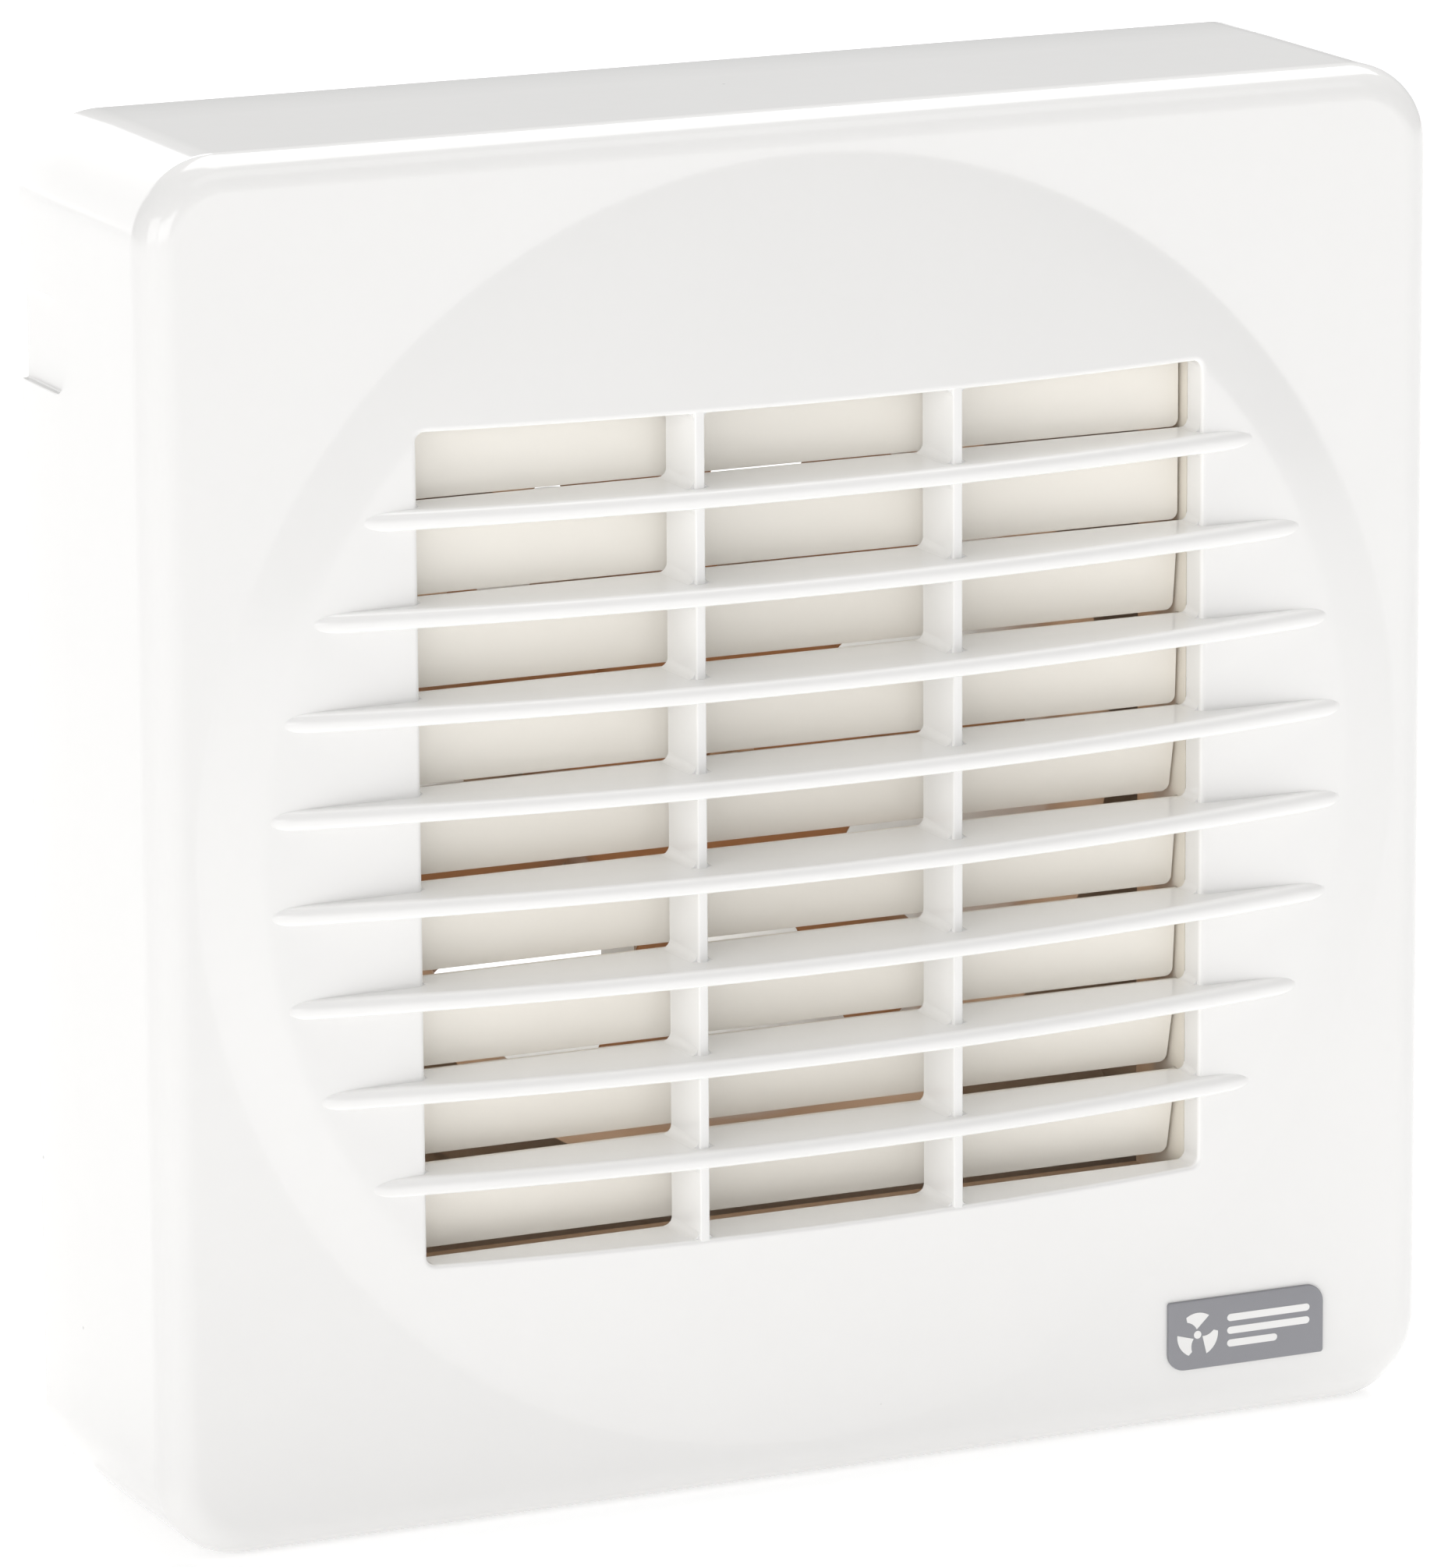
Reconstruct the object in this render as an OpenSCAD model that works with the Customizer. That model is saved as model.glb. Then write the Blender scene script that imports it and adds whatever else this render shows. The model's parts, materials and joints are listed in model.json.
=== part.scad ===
// Bathroom extractor fan for a 100 mm duct: square front cover with a domed louvre grille,
// nine linked shutter flaps opened by a wax capsule, and an axial fan in the duct spigot.
// Millimetres. +X to the right seen from the room, +Y into the wall, +Z up.
// The origin is on the duct axis, in the plane of the wall.

/* [Cover] */
// Width and height of the square front cover
cover_w = 164; // [158:1:170]
// Distance from the wall to the flat face of the cover
cover_depth = 40.3; // [39:0.1:44]
// Radius of the cover's four corners
corner_r = 10.1; // [8:0.1:14]
// Radius of the rounded edge around the face
edge_r = 4; // [3:0.1:6]
// Wall thickness of the cover
cover_wall = 2.2; // [1.8:0.1:2.6]

/* [Grille] */
// Radius of the circle where the dome leaves the face
dome_r = 77; // [74:0.5:78]
// Height of the dome's crest above the face
dome_rise = 10.1; // [7:0.1:12]
// Height of the flats left and right of the opening above the face
flat_rise = 1.9; // [1:0.1:3]
// Width of the grille opening
open_w = 100.1; // [98:0.1:102]
// Height of the grille opening
open_h = 98.06; // [96:0.02:98.4]
// Thickness of one horizontal bar
bar_t = 2.4; // [1.6:0.1:3]
// Distance from the middle to each upright bar
upright_x = 16.4; // [14:0.1:20]
// Thickness of one upright bar
upright_t = 1.5; // [1.2:0.1:2.4]
// Height of the upright bars' front edges above the face
upright_rise = 5.4; // [2:0.1:6]

/* [Shutters] */
// Number of shutter flaps
flap_count = 9; // [9]
// Distance between two flap pivots
flap_pitch = 11.188; // [11:0.001:11.3]
// Length of a flap from its pivot to its lower edge
flap_chord = 10.1; // [9:0.1:10.1]
// Thickness of a flap
flap_t = 1.2; // [0.8:0.1:1.4]
// Radius of the flap's pivot pins
pivot_r = 0.8; // [0.6:0.05:0.8]
// Length of the crank arm at the end of each flap
crank_len = 5; // [4:0.1:5.2]
// Turn of the flaps from shut to open
flap_turn = 72; // [60:1:72]

/* [Fan] */
// Outer radius of the duct spigot
spigot_r = 49.5; // [49:0.1:49.5]
// Length of the duct spigot behind the wall plane
spigot_len = 55; // [50:1:80]
// Inner radius of the shroud around the impeller
shroud_r = 43.6; // [43.4:0.1:43.8]
// Radius of the impeller over its blade tips
impeller_r = 42.4; // [40:0.1:42.6]
// Number of impeller blades
blade_count = 7; // [5:1:9]
// Radius of the motor shaft
shaft_r = 2; // [1.5:0.1:2.5]
// Radius of the motor can
can_r = 24; // [23:0.5:26]

/* [Backplate] */
// Width and height of the backplate
plate_w = 156; // [154:1:157]
// Thickness of the backplate
plate_t = 3; // [3]
// Sideways distance between the wall screws
wall_screw_dx = 92; // [88:1:96]
// Upright distance between the wall screws
wall_screw_dz = 140; // [138:1:142]

/* [Fits] */
// Radial clearance of pins and shafts that turn
running_gap = 0.07; // [0.03:0.01:0.1]
// Gap between parts that move past each other
move_gap = 0.3; // [0.25:0.05:0.4]

/* [Hidden] */
$fn = 64;
eps = 0.01;

// Cover and grille
rim_y = -move_gap;                       // the cover stops just short of the wall
face_y = -cover_depth;
inner_y = face_y + cover_wall;           // inside of the cover's front
corner_at = cover_w / 2 - corner_r;      // centre of a corner, from the middle
sphere_r = (dome_r * dome_r + dome_rise * dome_rise) / (2 * dome_rise);
sphere_y = face_y - dome_rise + sphere_r;
crest_y = face_y - dome_rise;
collar_t = 2;
badge_w = 21;
badge_h = 8.6;
badge_t = 0.5;
badge_r = 2.2;                           // radius of two of its corners
badge_at = [57.3, -70.5];
knockout_w = 11;
knockout_len = 14.6;
knockout_r = 3.4;                        // radius of its two front corners
knockout_z = 56.6;
knockout_deep = 0.85;
peg_at = [72, 30];
peg_r = 2.5;
peg_end_y = -5;

// Shutters. The flaps hang from pivots level with the grille bars.
pivot_y = inner_y + 2.2;
top_pivot_z = flap_pitch * flap_count / 2;
flap_half = 49.7;
// How far each flap hangs open when the shutters are shut, from the play in the link
flap_rest = [0, 0.5, 7, 3, 12, 8, 5, 14, 13];
frame_front_y = inner_y + 0.15;
frame_back_y = -25.5;
frame_in = [50.1, 52.5];                 // half width and half height inside the frame
frame_t = 2.2;
ear_at = [60.5, 46];
ear_w = 8;
ear_len = 12;
ear_t = 2.5;
crank_x = 53.2;
crank_t = 1.6;
crank_end_r = 1.3;
crank_pin_r = 0.8;
crank_start = -flap_turn / 2;            // the crank arm points back, this far below level
link_x = 55.2;
link_t = 2;
link_w = 4;
link_pin_y = pivot_y + crank_len * cos(crank_start);
link_drop = crank_len * sin(crank_start);
foot_z = -57;
foot_t = 1.6;
foot_end_x = 70;
act_at = [66, -31];                    // axis of the wax capsule and the spring, x and y
plunger_r = 1.6;
plunger_gap = 0.25;                      // rest gap under the link's foot
capsule_r = 5.5;
capsule_z = [-77, -63];
neck_r = 3.2;
neck_top_z = -60.5;
spring_r = 2.6;
spring_wire_r = 0.4;
spring_turns = 5;
shelf_z = -42;
shelf_t = 2;

// Fan
shroud_t = 1.8;
spigot_t = 1.9;
seat_step = 1;                           // how much wider the spigot is inside the backplate
flange_r = 57;
flange_t = 2;
shroud_y = [-16, 4];
mouth_r = 5;                             // radius of the rounded inlet
flange_screw_r = 53.5;
hub_r = 20;
hub_y = [-15, -1];
can_y = [6, 36];
can_wall = 1;
bush_r = 4;
bush_len = 5;
core_y = [14, 28];
rotor_r = 12;
bracket_ring_y = [8, 20];
motor_screw_at = 16;                     // distance of the motor screws from the axis
bracket_t = 1.6;
vane_t = 2;
vane_count = 3;
lead_r = 0.8;
lead_sides = 8;
lead_angle = 150;
annulus_r = (shroud_r + shroud_t + spigot_r - spigot_t) / 2;

// Backplate
plate_rim_h = 6;
plate_rim_t = 2;
socket_r = 4.6;
socket_front_y = -16;
post_r = 4;
wall_hole_r = 2.25;
entry_at = [-66, 12];
entry_r = 6;
grommet_bore_r = 4;
terminal_at = [-53, 58];
terminal_size = [22, 11, 11];
clamp_at = [-71, knockout_z];

// ---- helpers ----

// A cylinder along +Y from y0 to y1
module rod_y(r, y0, y1) {
    translate([0, y1, 0]) rotate([90, 0, 0]) cylinder(r = r, h = y1 - y0);
}

// A cylinder along +X from x0 to x1
module rod_x(r, x0, x1) {
    translate([x0, 0, 0]) rotate([0, 90, 0]) cylinder(r = r, h = x1 - x0);
}

// A ring along +Y
module ring_y(r_out, r_in, y0, y1) {
    difference() {
        rod_y(r_out, y0, y1);
        rod_y(r_in, y0 - 1, y1 + 1);
    }
}

// A block given by its low and high corners
module block(low, high) {
    translate(low) cube(high - low);
}

// Turns a flat outline in x and z into a plate from y0 to y1
module plate_y(y0, y1) {
    translate([0, y1, 0]) rotate([90, 0, 0]) linear_extrude(height = y1 - y0) children();
}

// A rectangle with true round corners
module round_rect(w, h, r) {
    square([w - 2 * r, h], center = true);
    square([w, h - 2 * r], center = true);
    for (sx = [-1, 1], sz = [-1, 1])
        translate([sx * (w / 2 - r), sz * (h / 2 - r)]) circle(r = r);
}

// Puts a part at the four places +-x, +-z
module at_four(x, z) {
    for (sx = [-1, 1], sz = [-1, 1]) translate([sx * x, 0, sz * z]) children();
}

// A pan-head screw whose head rests at y = 0, with its point along +Y
module screw(r, len, head_r, head_h) {
    difference() {
        union() {
            rod_y(r, -eps, len);
            rod_y(head_r, -head_h, 0);
        }
        cube([head_r * 1.3, head_h, 0.6], center = true);
        translate([0, -head_h, 0]) cube([head_r * 1.3, head_h, 0.7], center = true);
        translate([0, -head_h, 0]) cube([0.7, head_h, head_r * 1.3], center = true);
    }
}

// Unit vector from one point to the next
function heading(a, b) = (b - a) / norm(b - a);

// Direction of a route at its point i
function route_dir(p, i) =
    let (n = len(p) - 1)
    i == 0 ? heading(p[0], p[1]) :
    i == n ? heading(p[n - 1], p[n]) :
    let (d = heading(p[i - 1], p[i]) + heading(p[i], p[i + 1])) d / norm(d);

// Points of one ring around a route's point, square to its direction
function route_ring(p, i, r) =
    let (d = route_dir(p, i),
         side = abs(d[2]) < 0.9 ? [0, 0, 1] : [0, 1, 0],
         u = cross(d, side) / norm(cross(d, side)),
         v = cross(d, u))
    [for (k = [0 : lead_sides - 1])
        let (a = 360 * k / lead_sides) p[i] + r * (cos(a) * u + sin(a) * v)];

// A wire swept along a route
module wire(p, r) {
    rings = len(p);
    points = [for (i = [0 : rings - 1]) each route_ring(p, i, r)];
    sides = [for (i = [0 : rings - 2], k = [0 : lead_sides - 1])
        let (a = i * lead_sides, b = a + lead_sides, n = (k + 1) % lead_sides)
        [a + k, a + n, b + n, b + k]];
    first = [for (k = [lead_sides - 1 : -1 : 0]) k];
    last = [for (k = [0 : lead_sides - 1]) (rings - 1) * lead_sides + k];
    polyhedron(points, concat(sides, [first, last]));
}

// ---- cover ----

// Section of the cover's wall and rounded edge; x = 0 is a corner's centre
module cover_section() {
    turn_x = corner_r - edge_r;
    turn_y = cover_depth - edge_r;
    translate([corner_r - cover_wall, -rim_y]) square([cover_wall, turn_y + rim_y]);
    translate([0, cover_depth - cover_wall]) square([turn_x, cover_wall]);
    intersection() {
        translate([turn_x, turn_y]) difference() {
            circle(r = edge_r);
            circle(r = edge_r - cover_wall);
        }
        translate([turn_x, turn_y]) square(edge_r + 1);
    }
}

module cover_shell() {
    plate_y(face_y, inner_y) square(2 * corner_at, center = true);
    for (turn = [0 : 90 : 270]) rotate([0, turn, 0]) {
        translate([corner_at, 0, corner_at]) rotate([90, 0, 0]) rotate_extrude(angle = 90)
            cover_section();
        translate([corner_at, 0, corner_at]) rotate([180, 0, 0])
            linear_extrude(height = 2 * corner_at) cover_section();
    }
}

// The dome's solid, in front of plane y, with its surface drawn in by inset
module dome(inset, y) {
    rotate([90, 0, 0]) rotate_extrude($fn = 180) intersection() {
        translate([0, -sphere_y]) circle(r = sphere_r - inset, $fn = 900);
        translate([0, -y]) square([dome_r, y - crest_y + 1]);
    }
}

// Raised front: the dome, cut down to the flats left and right of the opening
module raised_front() {
    difference() {
        dome(0, inner_y);
        for (sx = [-1, 1])
            translate([sx * (open_w / 2 + dome_r / 2), face_y - flat_rise - dome_rise, 0])
                cube([dome_r, 2 * dome_rise, 2 * dome_r], center = true);
    }
}

// Hollow behind the dome above and below the opening
module dome_hollow() {
    hollow_z = open_h / 2 + collar_t;
    for (sz = [-1, 1]) intersection() {
        dome(cover_wall, inner_y + eps);
        translate([0, face_y, sz * (hollow_z + dome_r / 2)])
            cube([open_w - 2 * collar_t, 2 * cover_depth, dome_r], center = true);
    }
}

module grille_bars() {
    intersection() {
        for (k = [1 : flap_count - 1])
            translate([0, face_y, top_pivot_z - k * flap_pitch])
                cube([2 * dome_r, 2 * cover_depth, bar_t], center = true);
        dome(0, inner_y);
    }
    for (sx = [-1, 1])
        block([sx * upright_x - upright_t / 2, face_y - upright_rise, -open_h / 2 - 1],
              [sx * upright_x + upright_t / 2, inner_y, open_h / 2 + 1]);
}

module front_cover() {
    color("white") difference() {
        union() {
            difference() {
                union() {
                    cover_shell();
                    raised_front();
                }
                dome_hollow();
                translate([0, face_y, 0]) cube([open_w, 2 * cover_depth, open_h], center = true);
            }
            grille_bars();
            at_four(peg_at[0], peg_at[1]) rod_y(peg_r, inner_y - eps, peg_end_y);
        }
        // cable knock-out, pressed into the left wall at its rear edge
        translate([-cover_w / 2, 0, knockout_z]) {
            corner_z = knockout_w / 2 - knockout_r;
            block([-knockout_deep, knockout_r - knockout_len, -knockout_w / 2],
                  [knockout_deep, 1, knockout_w / 2]);
            block([-knockout_deep, -knockout_len, -corner_z], [knockout_deep, 0, corner_z]);
            for (sz = [-1, 1]) translate([0, knockout_r - knockout_len, sz * corner_z])
                rod_x(knockout_r, -knockout_deep, knockout_deep);
        }
    }
}

module badge_plate() {
    color("darkgray") translate([badge_at[0], 0, badge_at[1]])
        plate_y(face_y - badge_t, face_y) {
            round_rect(badge_w, badge_h, badge_r);
            // the two other corners are square
            for (s = [-1, 1]) translate([s * badge_w / 4, -s * badge_h / 4])
                square([badge_w / 2, badge_h / 2], center = true);
        }
}

// ---- shutters ----

module shutter_frame() {
    color("gainsboro") difference() {
        union() {
            difference() {
                block([-frame_in[0] - frame_t, frame_front_y, -frame_in[1] - frame_t],
                      [frame_in[0] + frame_t, frame_back_y, frame_in[1] + frame_t]);
                block([-frame_in[0], frame_front_y - 1, -frame_in[1]],
                      [frame_in[0], frame_back_y + 1, frame_in[1]]);
            }
            for (sx = [-1, 1], sz = [-1, 1])
                translate([sx * (frame_in[0] + frame_t + ear_len / 2), frame_back_y - ear_t / 2,
                           sz * ear_at[1]])
                    cube([ear_len, ear_t, ear_w], center = true);
            // shelf that holds the upper end of the return spring, reaching round the link bar
            block([frame_in[0] + frame_t, frame_back_y - ear_t, shelf_z],
                  [act_at[0] + 5, frame_back_y, shelf_z + shelf_t]);
            block([act_at[0] - 5, act_at[1] - 4.5, shelf_z],
                  [act_at[0] + 5, frame_back_y - ear_t, shelf_z + shelf_t]);
        }
        for (k = [0 : flap_count - 1])
            translate([0, pivot_y, top_pivot_z - k * flap_pitch])
                rod_x(pivot_r + running_gap, -2 * frame_in[0], 2 * frame_in[0]);
        at_four(ear_at[0], ear_at[1]) rod_y(1.6, frame_back_y - 2 * ear_t, 0);
    }
}

module frame_screws() {
    color("silver") at_four(ear_at[0], ear_at[1])
        translate([0, frame_back_y - ear_t, 0]) screw(1.3, 9, 2.6, 1.6);
}

// One flap with its pivot pins, crank arm and crank pin. It hangs at rest_angle.
module flap(index) {
    tip_r = 1;
    color("linen") translate([0, pivot_y, top_pivot_z - (index - 1) * flap_pitch]) {
        rotate([flap_rest[index - 1], 0, 0]) plate_y(-flap_t / 2, flap_t / 2) union() {
            translate([-flap_half, tip_r - flap_chord])
                square([2 * flap_half, flap_chord - tip_r]);
            translate([tip_r - flap_half, -flap_chord])
                square([2 * (flap_half - tip_r), 2 * tip_r]);
            for (sx = [-1, 1])
                translate([sx * (flap_half - tip_r), tip_r - flap_chord]) circle(r = tip_r);
        }
        rod_x(pivot_r, -frame_in[0] - frame_t + move_gap, crank_x + crank_t);
        rotate([crank_start, 0, 0]) {
            rod_x(crank_end_r + 0.3, crank_x, crank_x + crank_t);
            block([crank_x, 0, -crank_end_r], [crank_x + crank_t, crank_len, crank_end_r]);
            translate([0, crank_len, 0]) {
                rod_x(crank_end_r, crank_x, crank_x + crank_t);
                rod_x(crank_pin_r, crank_x, link_x + link_t + 0.6);
            }
        }
    }
}

module flap_1() { flap(1); }
module flap_2() { flap(2); }
module flap_3() { flap(3); }
module flap_4() { flap(4); }
module flap_5() { flap(5); }
module flap_6() { flap(6); }
module flap_7() { flap(7); }
module flap_8() { flap(8); }
module flap_9() { flap(9); }

// Bar that joins the nine crank pins, with the foot that the wax capsule lifts
module link_bar() {
    top_z = top_pivot_z + link_drop + link_w / 2;
    color("ivory") difference() {
        union() {
            block([link_x, link_pin_y - link_w / 2, foot_z],
                  [link_x + link_t, link_pin_y + link_w / 2, top_z]);
            block([link_x, act_at[1] - 4, foot_z],
                  [foot_end_x, act_at[1] + 2, foot_z + foot_t]);
        }
        for (k = [0 : flap_count - 1])
            translate([0, link_pin_y, top_pivot_z + link_drop - k * flap_pitch])
                rod_x(crank_pin_r + running_gap, link_x - 1, link_x + link_t + 1);
    }
}

module wax_capsule() {
    color("goldenrod") translate([act_at[0], act_at[1], 0]) difference() {
        union() {
            translate([0, 0, capsule_z[0]]) cylinder(r = capsule_r, h = capsule_z[1] - capsule_z[0]);
            translate([0, 0, capsule_z[0] + 2]) cylinder(r = capsule_r + 0.8, h = 2.5);
            translate([0, 0, capsule_z[1] - 1])
                cylinder(r = neck_r, h = neck_top_z - capsule_z[1] + 1);
        }
        translate([0, 0, capsule_z[0] + 4])
            cylinder(r = plunger_r + running_gap, h = capsule_z[1] - capsule_z[0] + 10);
    }
}

module plunger() {
    low_z = capsule_z[0] + 5;
    color("silver") translate([act_at[0], act_at[1], low_z])
        cylinder(r = plunger_r, h = foot_z - plunger_gap - low_z);
}

// Coil spring between the link's foot and the shelf
module return_spring() {
    bottom_z = foot_z + foot_t + spring_wire_r;
    height = shelf_z - spring_wire_r - bottom_z;
    steps = 12 * spring_turns;
    color("silver") wire([for (i = [0 : steps])
        let (a = 360 * spring_turns * i / steps)
        [act_at[0] + spring_r * cos(a), act_at[1] + spring_r * sin(a),
         bottom_z + height * i / steps]], spring_wire_r);
}

module actuator_bracket() {
    ring_z = -74;
    ring_h = 6;
    color("whitesmoke") difference() {
        union() {
            block([58, -5, -75], [71, -plate_t, -62]);
            block([61.5, act_at[1], ring_z], [70.5, -4, ring_z + ring_h]);
            translate([act_at[0], act_at[1], ring_z]) cylinder(r = capsule_r + 1.3, h = ring_h);
        }
        translate([act_at[0], act_at[1], ring_z - 1]) cylinder(r = capsule_r, h = ring_h + 2);
        translate([act_at[0], act_at[1], ring_z - 1]) cylinder(r = capsule_r + 0.8, h = 2.5);
        translate([61, 0, -64.5]) rod_y(1.6, -6, 0);
        translate([68, 0, -64.5]) rod_y(1.6, -6, 0);
    }
}

module bracket_screws() {
    color("silver") for (x = [61, 68]) translate([x, -5, -64.5]) screw(1.3, 4.5, 2.2, 1.4);
}

// ---- fan ----

// Quarter ring that rounds the shroud's inlet
module inlet_section() {
    translate([shroud_r + mouth_r, -shroud_y[0]]) intersection() {
        difference() {
            circle(r = mouth_r);
            circle(r = mouth_r - shroud_t);
        }
        translate([-mouth_r, 0]) square(mouth_r);
    }
}

module fan_duct() {
    color("whitesmoke") difference() {
        union() {
            ring_y(spigot_r, spigot_r - spigot_t, -plate_t, spigot_len);
            ring_y(spigot_r + seat_step, spigot_r - spigot_t, -plate_t, 0);
            ring_y(flange_r, shroud_r, -plate_t - flange_t, -plate_t);
            ring_y(shroud_r + shroud_t, shroud_r, shroud_y[0], shroud_y[1]);
            rotate([90, 0, 0]) rotate_extrude() inlet_section();
        }
        for (a = [45 : 90 : 315]) rotate([0, a, 0]) translate([flange_screw_r, 0, 0])
            rod_y(1.6, -10, 0);
        rotate([0, -lead_angle, 0]) for (sz = [-1, 1])
            translate([annulus_r, 0, sz * 1.2]) rod_y(lead_r + 0.15, -10, 0);
    }
}

module duct_screws() {
    color("silver") for (a = [45 : 90 : 315]) rotate([0, a, 0])
        translate([flange_screw_r, -plate_t - flange_t, 0]) screw(1.5, 4.8, 2.6, 1.6);
}

// Cup that holds the motor can, three vanes and the ring pressed into the spigot
module motor_bracket() {
    ring_in = spigot_r - spigot_t - bracket_t;
    cup_y = [can_y[0] - 2, can_y[0] + 18];
    color("whitesmoke") {
        difference() {
            rod_y(can_r + bracket_t, cup_y[0], cup_y[1]);
            rod_y(can_r, can_y[0], cup_y[1] + 1);
            rod_y(9, cup_y[0] - 1, can_y[0] + 1);
            for (a = [30 : 120 : 270]) rotate([0, a, 0]) translate([motor_screw_at, 0, 0])
                rod_y(1.6, 0, can_y[0] + 1);
        }
        ring_y(spigot_r - spigot_t, ring_in, bracket_ring_y[0], bracket_ring_y[1]);
        for (k = [0 : vane_count - 1]) rotate([0, -lead_angle + k * 360 / vane_count, 0])
            block([can_r + bracket_t / 2, bracket_ring_y[0] + 1, -vane_t / 2],
                  [ring_in + bracket_t / 2, bracket_ring_y[1] - 1, vane_t / 2]);
    }
}

module motor_can() {
    color("silver") difference() {
        rod_y(can_r, can_y[0], can_y[1]);
        rod_y(can_r - can_wall, can_y[0] + can_wall, can_y[1] + 1);
        rod_y(bush_r, 0, can_y[0] + 2);
        for (a = [30 : 120 : 270]) rotate([0, a, 0]) translate([motor_screw_at, 0, 0])
            rod_y(1.5, 0, can_y[0] + 2);
    }
}

module motor_end_cap() {
    color("silver") difference() {
        union() {
            rod_y(can_r, can_y[1], can_y[1] + 1.2);
            rod_y(bush_r + 1.5, can_y[1], can_y[1] + 3);
        }
        rod_y(bush_r, can_y[1] - 1, can_y[1] + 4);
    }
}

module motor_bushes() {
    color("peru") for (y = [can_y[0] - 1.5, can_y[1] - 1.5])
        ring_y(bush_r, shaft_r + running_gap, y, y + bush_len);
}

module stator_core() {
    slots = 6;
    color("dimgray") difference() {
        ring_y(can_r - can_wall - 0.05, rotor_r + 0.4, core_y[0], core_y[1]);
        for (k = [0 : slots - 1]) rotate([0, k * 360 / slots, 0]) translate([17.5, 0, 0])
            rod_y(2.2, core_y[0] - 1, core_y[1] + 1);
    }
}

// Copper windings: two end turns joined by a bundle through each slot
module stator_windings() {
    slots = 6;
    end_h = 4.5;
    color("chocolate") {
        for (y = [core_y[0] - end_h, core_y[1]]) ring_y(22.4, rotor_r + 1.4, y, y + end_h);
        for (k = [0 : slots - 1]) rotate([0, k * 360 / slots, 0]) translate([17.5, 0, 0])
            rod_y(2.2, core_y[0], core_y[1]);
    }
}

module motor_screws() {
    color("silver") for (a = [30 : 120 : 270]) rotate([0, a, 0])
        translate([motor_screw_at, can_y[0] - 2, 0]) screw(1.5, 4, 2.6, 1.6);
}

// Point of a blade's section on the cylinder of radius r: t runs along the chord from -1 to 1
function blade_point(r, t, side) =
    let (k = (r - hub_r) / (impeller_r - hub_r),
         half_chord = 7.5 + 2.5 * k,
         stagger = 40 + 20 * k,
         camber = 1.6 * (1 - t * t),
         half_t = 0.75 * sqrt(1 - 0.9 * t * t),
         s = half_chord * t * sin(stagger) + (camber + side * half_t) * cos(stagger),
         y = half_chord * t * cos(stagger) - (camber + side * half_t) * sin(stagger),
         a = s / r * 180 / PI)
    [r * cos(a), y + (hub_y[0] + hub_y[1]) / 2, r * sin(a)];

// One impeller blade, lofted between sections on cylinders about the shaft
module blade() {
    sections = 6;
    steps = 6;
    low_r = hub_r - 0.8;
    ring_n = 2 * (steps + 1);
    points = [for (i = [0 : sections - 1])
        let (r = low_r + (impeller_r - low_r) * i / (sections - 1)) each concat(
            [for (j = [0 : steps]) blade_point(r, -1 + 2 * j / steps, 1)],
            [for (j = [steps : -1 : 0]) blade_point(r, -1 + 2 * j / steps, -1)])];
    sides = [for (i = [0 : sections - 2], k = [0 : ring_n - 1], half = [0, 1])
        let (a = i * ring_n, b = a + ring_n, n = (k + 1) % ring_n)
        half == 0 ? [a + k, a + n, b + n] : [a + k, b + n, b + k]];
    cap = (sections - 1) * ring_n;
    root_cap = [for (j = [0 : steps - 1], half = [0, 1]) half == 0
        ? [j, ring_n - 1 - j, j + 1] : [j + 1, ring_n - 1 - j, ring_n - 2 - j]];
    tip_cap = [for (f = root_cap) [cap + f[2], cap + f[1], cap + f[0]]];
    polyhedron(points, concat(sides, root_cap, tip_cap));
}

module impeller() {
    color("lightgray") {
        difference() {
            union() {
                ring_y(hub_r, hub_r - 2, hub_y[0], hub_y[1]);
                rod_y(hub_r, hub_y[0], hub_y[0] + 2);
                rod_y(5, hub_y[0], hub_y[1] - 1);
            }
            rod_y(shaft_r, hub_y[0] - 1, hub_y[1] + 1);
        }
        for (k = [0 : blade_count - 1]) rotate([0, k * 360 / blade_count, 0]) blade();
    }
}

module impeller_nut() {
    color("silver") difference() {
        translate([0, hub_y[0], 0]) rotate([90, 0, 0]) cylinder(r = 4, h = 3, $fn = 6);
        rod_y(shaft_r, hub_y[0] - 4, hub_y[0] + 1);
    }
}

module motor_shaft() {
    color("silver") rod_y(shaft_r, hub_y[0] - 4, can_y[1] + 4.5);
}

module rotor_core() {
    color("gray") ring_y(rotor_r, shaft_r, core_y[0] - 1, core_y[1] + 1);
}

module thrust_washers() {
    front_y = can_y[0] - 1.5 + bush_len + 0.1;
    rear_y = can_y[1] - 1.6;
    color("ivory") {
        ring_y(4.5, shaft_r, front_y, front_y + 0.6);
        ring_y(4.5, shaft_r, rear_y - 0.6, rear_y);
    }
}

// ---- backplate and wiring ----

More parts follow.
